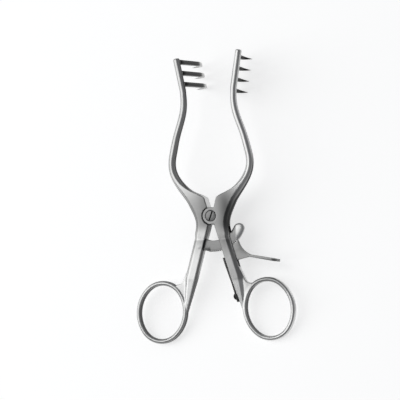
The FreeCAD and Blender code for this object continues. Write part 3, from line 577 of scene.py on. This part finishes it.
def prong_line():
    """Inward and downward places of a prong: straight leg, round hook, flat point."""
    line = [(LEG_IN * share, LEG_DOWN * share) for share in LEG_SHARES]
    for number in range(HOOK_PLACES):
        turn = math.radians(HOOK_START + HOOK_STEP * number)
        inward = HOOK_IN + HOOK_ACROSS * math.cos(turn)
        line.append((inward, HOOK_DEPTH + HOOK_DOWN * math.sin(turn)))
    lowest = HOOK_DEPTH + HOOK_DOWN
    for share in POINT_SHARES:
        inward = HOOK_IN - (HOOK_IN + POINT_OUT) * share
        line.append((inward, lowest - (lowest - POINT_DEPTH) * share ** 2))
    return line


def prong_size(share):
    """Half thickness, half breadth and squareness at a share of the length."""
    squareness = LEG_SQUARENESS if share < SQUARE_LENGTH else POINT_SQUARENESS
    if share < 1 - POINT_LENGTH:
        return LEG_THICK - LEG_THINNING * share, LEG_BROAD, squareness
    left = (1 - share) / POINT_LENGTH
    return POINT_THICK * left + TIP_THICK, POINT_BROAD * left + TIP_BROAD, squareness


def one_prong(side):
    """One hooked prong in its half's frame, thick at the arm and sharp at its point."""
    line = []
    for inward, down in prong_line():
        line.append(Vector(((ARM_OFFSET - inward) * side, -RAKE * down, -down)))
    lengths = [0.0]
    for near, far in zip(line, line[1:]):
        lengths.append(lengths[-1] + (far - near).length)
    along_arm = Vector((0, 1, 0))
    stations = []
    for number, centre in enumerate(line):
        ahead = line[min(number + 1, len(line) - 1)] - line[max(number - 1, 0)]
        across = ahead.cross(along_arm).normalized()
        place = Matrix((across, along_arm, ahead.normalized())).transposed().to_4x4()
        place.translation = centre
        stations.append((place, *prong_size(lengths[number] / lengths[-1])))
    return swept("prong", stations, PRONG_CORNERS)


def comb(name):
    """The row of prongs of one half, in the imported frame."""
    prong = one_prong(SIDE[name])
    step = (0, -PRONG_PITCH, 0)
    # The comb's steel has painted shade on its legs and hooks.
    row = row_of(name + "_comb", prong, PRONGS[name], name + "_prongs", step=step)
    to_arm_end = Matrix.Translation((0, ARM_REACH[name] - PRONG_FIRST, 0))
    row.data.transform(HALVES[name] @ to_arm_end)
    row.data.shade_smooth()
    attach(row, nodes[name + "_half"]["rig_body"])


# -------------------------------------------------------------- the halves

# The block that takes the solid's prongs off, and the skin's grain and how many
# times it is smoothed; all lengths in millimetres.
KNIFE_ACROSS, KNIFE_DEEP, KNIFE_MARGIN = 26.0, 30.0, 1.2
ARM_UNDERSIDE = 1.5
SKIN_GRAIN = 0.2
SKIN_SMOOTHING = 11


def prong_knife(name):
    """A block over the solid's prongs, from the underside of the arm down."""
    side = SIDE[name]
    row_length = (PRONGS[name] - 1) * PRONG_PITCH
    lean = math.atan2(LEG_IN, LEG_DOWN) * side
    size = Matrix.Diagonal((KNIFE_ACROSS, row_length + 2 * KNIFE_MARGIN, KNIFE_DEEP, 1))
    below_arm = Matrix.Translation((0, 0, -KNIFE_DEEP / 2 - ARM_UNDERSIDE))
    row_middle = (ARM_OFFSET * side, ARM_REACH[name] - PRONG_FIRST - row_length / 2, 0)
    mesh = bmesh.new()
    bmesh.ops.create_cube(mesh, size=1.0, matrix=below_arm @ size)
    mesh.transform(HALVES[name] @ Matrix.Translation(row_middle) @ Matrix.Rotation(lean, 4, "Y"))
    return mesh_object(name + "_knife", mesh)


def forged_half(name, pins, pin_stretch):
    """The half's skin drawn as one smooth forging, without the solid's prongs, and
    with its pins stretched to lie flush."""
    node_name = name + "_half"
    skin = merged_copy(node_name + "_skin", node_name)
    knife = prong_knife(name)
    cut = skin.modifiers.new("prongs off", "BOOLEAN")
    cut.operation = "DIFFERENCE"
    cut.solver = "EXACT"
    cut.object = knife
    made_plain(skin)
    bpy.data.objects.remove(knife)
    pin_skin = merged_copy(pins + "_skin", pins)
    longer = Matrix.Diagonal((1, 1, pin_stretch, 1))
    pin_skin.data.transform(TOOL @ longer @ TOOL.inverted())
    piece = joined_up(node_name + "_finished", [skin, pin_skin])
    remesh = piece.modifiers.new("even skin", "REMESH")
    remesh.mode = "VOXEL"
    remesh.voxel_size = SKIN_GRAIN * MM
    soften = piece.modifiers.new("soft edges", "SMOOTH")
    soften.factor = 0.5
    soften.iterations = SKIN_SMOOTHING
    made_plain(piece).shade_smooth()
    # The half's steel has light and shade painted into its greys.
    stands_for(piece, "satin_steel", name + "_satin", node_name, pins)


forged_half("left", "tang_pins", 1.01)
forged_half("right", "lever_pin", 1.085)
comb("left")
comb("right")

# --------------------------------------------------------- the ratchet bar

# Turns are degrees from the left shank, and radii are from the pivot.
SHANK_ANGLE = 26.9
SHANK_TURN = SHANK_ANGLE - OPENING["left"]
BAR_INNER, BAR_OUTER = 10.7, 15.6
BAR_HALF_THICK = 1.1
BAR_START, LOBE_TURN, BAR_END = -13.0, 66.0, 90.5
BAND_STEPS, LOBE_STEPS, LOBE_END_STEPS = 16, 5, 9
BAND_SQUARENESS, LOBE_SQUARENESS = 14.0, 2.4
LOBE_TIP = 0.04
BAR_CORNERS = 40
TOOTH_START, TOOTH_PITCH, TOOTH_COUNT = 11.7, 3.3, 15
TOOTH_DEPTH, TOOTH_SUNK = 0.7, 0.3
TOOTH_CREST, TOOTH_BACK = 0.86, 0.97
TOOTH_SHY, TOOTH_INSET = 0.06, 0.03
SHOULDER_TURN = 0.1
TOOTH_SHARP_ANGLE = 38.0


def on_bar(turn, radius):
    """A place on the bar, in the tool's frame."""
    angle = math.radians(turn - SHANK_TURN)
    return Vector((radius * math.sin(angle), -radius * math.cos(angle), 0))


def bar_station(turn, outer=BAR_OUTER, swell=1.0, squareness=BAND_SQUARENESS):
    """The bar's section at a turn; swell under 1 draws it in to its middle."""
    outward = on_bar(turn, 1.0)
    front = Vector((0, 0, 1))
    place = Matrix((outward, front, front.cross(outward))).transposed().to_4x4()
    place.translation = on_bar(turn, (BAR_INNER + outer) / 2)
    return place, (outer - BAR_INNER) / 2 * swell, BAR_HALF_THICK * swell ** 0.5, squareness


def bar_band():
    """The band, narrower by a tooth where the teeth stand, with a rounded lobe."""
    teeth_turn = TOOTH_PITCH * TOOTH_COUNT
    teeth_end = TOOTH_START + teeth_turn
    stations = [bar_station(BAR_START), bar_station(TOOTH_START - SHOULDER_TURN)]
    for number in range(BAND_STEPS + 1):
        turn = TOOTH_START + teeth_turn * number / BAND_STEPS
        stations.append(bar_station(turn, BAR_OUTER - TOOTH_DEPTH))
    stations.append(bar_station(teeth_end + SHOULDER_TURN))
    end_round = math.degrees((BAR_OUTER - BAR_INNER) / (BAR_OUTER + BAR_INNER))
    lobe_turn = BAR_END - end_round - LOBE_TURN
    for number in range(LOBE_STEPS + 1):
        turn = LOBE_TURN + lobe_turn * number / LOBE_STEPS
        stations.append(bar_station(turn, squareness=LOBE_SQUARENESS))
    for number in range(1, LOBE_END_STEPS + 1):
        lean = math.pi / 2 * number / LOBE_END_STEPS
        turn = BAR_END - end_round * (1 - math.sin(lean))
        swell = max(math.cos(lean), LOBE_TIP)
        stations.append(bar_station(turn, swell=swell, squareness=LOBE_SQUARENESS))
    return swept("band", stations, BAR_CORNERS)


def saw_tooth():
    """The first tooth: a long rise to its crest, a steep back, and a foot in the band."""
    root = BAR_OUTER - TOOTH_DEPTH
    crest_turn = TOOTH_START + TOOTH_PITCH * TOOTH_CREST
    back_turn = TOOTH_START + TOOTH_PITCH * TOOTH_BACK
    corners = [
        on_bar(TOOTH_START, root - TOOTH_SUNK),
        on_bar(TOOTH_START, root),
        on_bar(crest_turn, BAR_OUTER - TOOTH_SHY),
        on_bar(back_turn, root),
        on_bar(back_turn, root - TOOTH_SUNK),
    ]
    lift = Vector((0, 0, BAR_HALF_THICK - TOOTH_INSET))
    mesh = bmesh.new()
    low = [mesh.verts.new(corner - lift) for corner in corners]
    high = [mesh.verts.new(corner + lift) for corner in corners]
    mesh.faces.new(low[::-1])
    mesh.faces.new(high)
    for number in range(len(corners)):
        after = (number + 1) % len(corners)
        mesh.faces.new((low[number], low[after], high[after], high[number]))
    bmesh.ops.recalc_face_normals(mesh, faces=mesh.faces)
    return mesh_object("tooth", mesh)


def ratchet_bar():
    """The band and the row of saw teeth on its outer edge."""
    band = bar_band()
    turn = math.radians(TOOTH_PITCH)
    teeth = row_of("teeth", saw_tooth(), TOOTH_COUNT, "ratchet_steel", turn=turn)
    piece = joined_up("ratchet_bar_finished", [band, teeth])
    piece.data.transform(TOOL)
    piece.data.shade_smooth()
    piece.data.set_sharp_from_angle(angle=math.radians(TOOTH_SHARP_ANGLE))
    stands_for(piece, "ratchet_steel", "ratchet_steel", "ratchet_bar")


ratchet_bar()

# ------------------------------------------- the pieces that stay as solids

# Edges sharper than this, in degrees, are eased in this many steps.
EDGE_ANGLE = 32.0
EDGE_SEGMENTS = 3


def dressed(node_name, slot_name, edge_round):
    """The solid's own surface, joined up, with its sharp edges eased."""
    piece = merged_copy(node_name + "_finished", node_name)
    piece.data.shade_smooth()
    easing = piece.modifiers.new("eased edges", "BEVEL")
    easing.width = edge_round * MM
    easing.segments = EDGE_SEGMENTS
    easing.limit_method = "ANGLE"
    easing.angle_limit = math.radians(EDGE_ANGLE)
    easing.harden_normals = True
    made_plain(piece)
    stands_for(piece, slot_name, slot_name, node_name)


# The lever takes the bar's steel, with its sides painted darker as shade.
dressed("release_lever", "ratchet_steel", 0.12)
dressed("leaf_spring", "spring_steel", 0.06)
dressed("pivot_screw", "screw_steel", 0.08)
dressed("leaf_screw", "screw_steel", 0.04)

# --------------------------------------------------------- floor, lamps, view

FLOOR_HALF = 2.5
FLOOR_GLOW = 0.6


def plain_floor():
    """A pale floor that is white to the eye and in the steel, and keeps shadows."""
    near, far = -FLOOR_HALF, FLOOR_HALF
    corners = [(near, near, 0), (far, near, 0), (far, far, 0), (near, far, 0)]
    floor = new_object("floor")
    floor.data.from_pydata(corners, [], [(0, 1, 2, 3)])
    finish = Finish("floor_white", (0.86, 0.86, 0.86), 0.9, 0.0)
    rays = ("Is Camera Ray", "Is Glossy Ray", "Is Transmission Ray")
    camera, glossy, through = [finish.node("ShaderNodeLightPath", output=ray) for ray in rays]
    seen = camera.maths("MAXIMUM", camera, glossy)
    seen = seen.maths("MAXIMUM", seen, through)
    glow = (FLOOR_GLOW, FLOOR_GLOW, FLOOR_GLOW, 1)
    finish.set("Emission Color", finish.blended(seen, (0, 0, 0, 1), glow))
    finish.set("Emission Strength", 1.0)
    floor.data.materials.append(finish.material)


def soft_lamp(name, place, width, height, power):
    """A wide lamp that looks at the middle of the tool."""
    light = bpy.data.lights.new(name, "AREA")
    light.shape = "RECTANGLE"
    light.size = width
    light.size_y = height
    light.energy = power
    lamp = new_object(name, light)
    lamp.location = place
    lamp.rotation_euler = (-Vector(place)).to_track_quat("-Z", "Y").to_euler()


plain_floor()
soft_lamp("window_left", (-0.8, 0.0, 0.95), 1.0, 1.8, 7.2)

world = bpy.data.worlds.new("studio")
bpy.context.scene.world = world
world.use_nodes = True
studio = world.node_tree.nodes["Background"]
studio.inputs["Color"].default_value = (0.95, 0.97, 1.0, 1)
studio.inputs["Strength"].default_value = 0.2
bpy.context.scene.view_settings.view_transform = "Standard"


def photo_camera():
    """The photograph's place: far off, a little to the right and below level."""
    frame_pixels = 400
    pixels_per_mm = 2.3
    distance = 800.0
    turn, rise, roll = (math.radians(angle) for angle in (18.02, -2.24, -2.09))
    pivot_pixel = (212.82, 216.0)
    level = Vector((math.cos(turn), 0, -math.sin(turn)))
    back = Vector((math.sin(turn), math.tan(rise), math.cos(turn))).normalized()
    up = back.cross(level)
    right = math.cos(roll) * level + math.sin(roll) * up
    top = back.cross(right)
    across = (pivot_pixel[0] - frame_pixels / 2) / pixels_per_mm
    down = (pivot_pixel[1] - frame_pixels / 2) / pixels_per_mm
    place = TOOL @ (distance * back - across * right + down * top)
    data = bpy.data.cameras.new("photo_camera")
    data.sensor_width = 36.0
    data.lens = data.sensor_width * pixels_per_mm * distance / frame_pixels
    data.clip_end = 10.0
    camera = new_object("photo_camera", data)
    turned = Matrix((right, top, back)).transposed().to_4x4()
    camera.matrix_world = Matrix.Translation(place) @ Matrix.Rotation(TIP_BACK, 4, "X") @ turned
    bpy.context.scene.camera = camera


photo_camera()
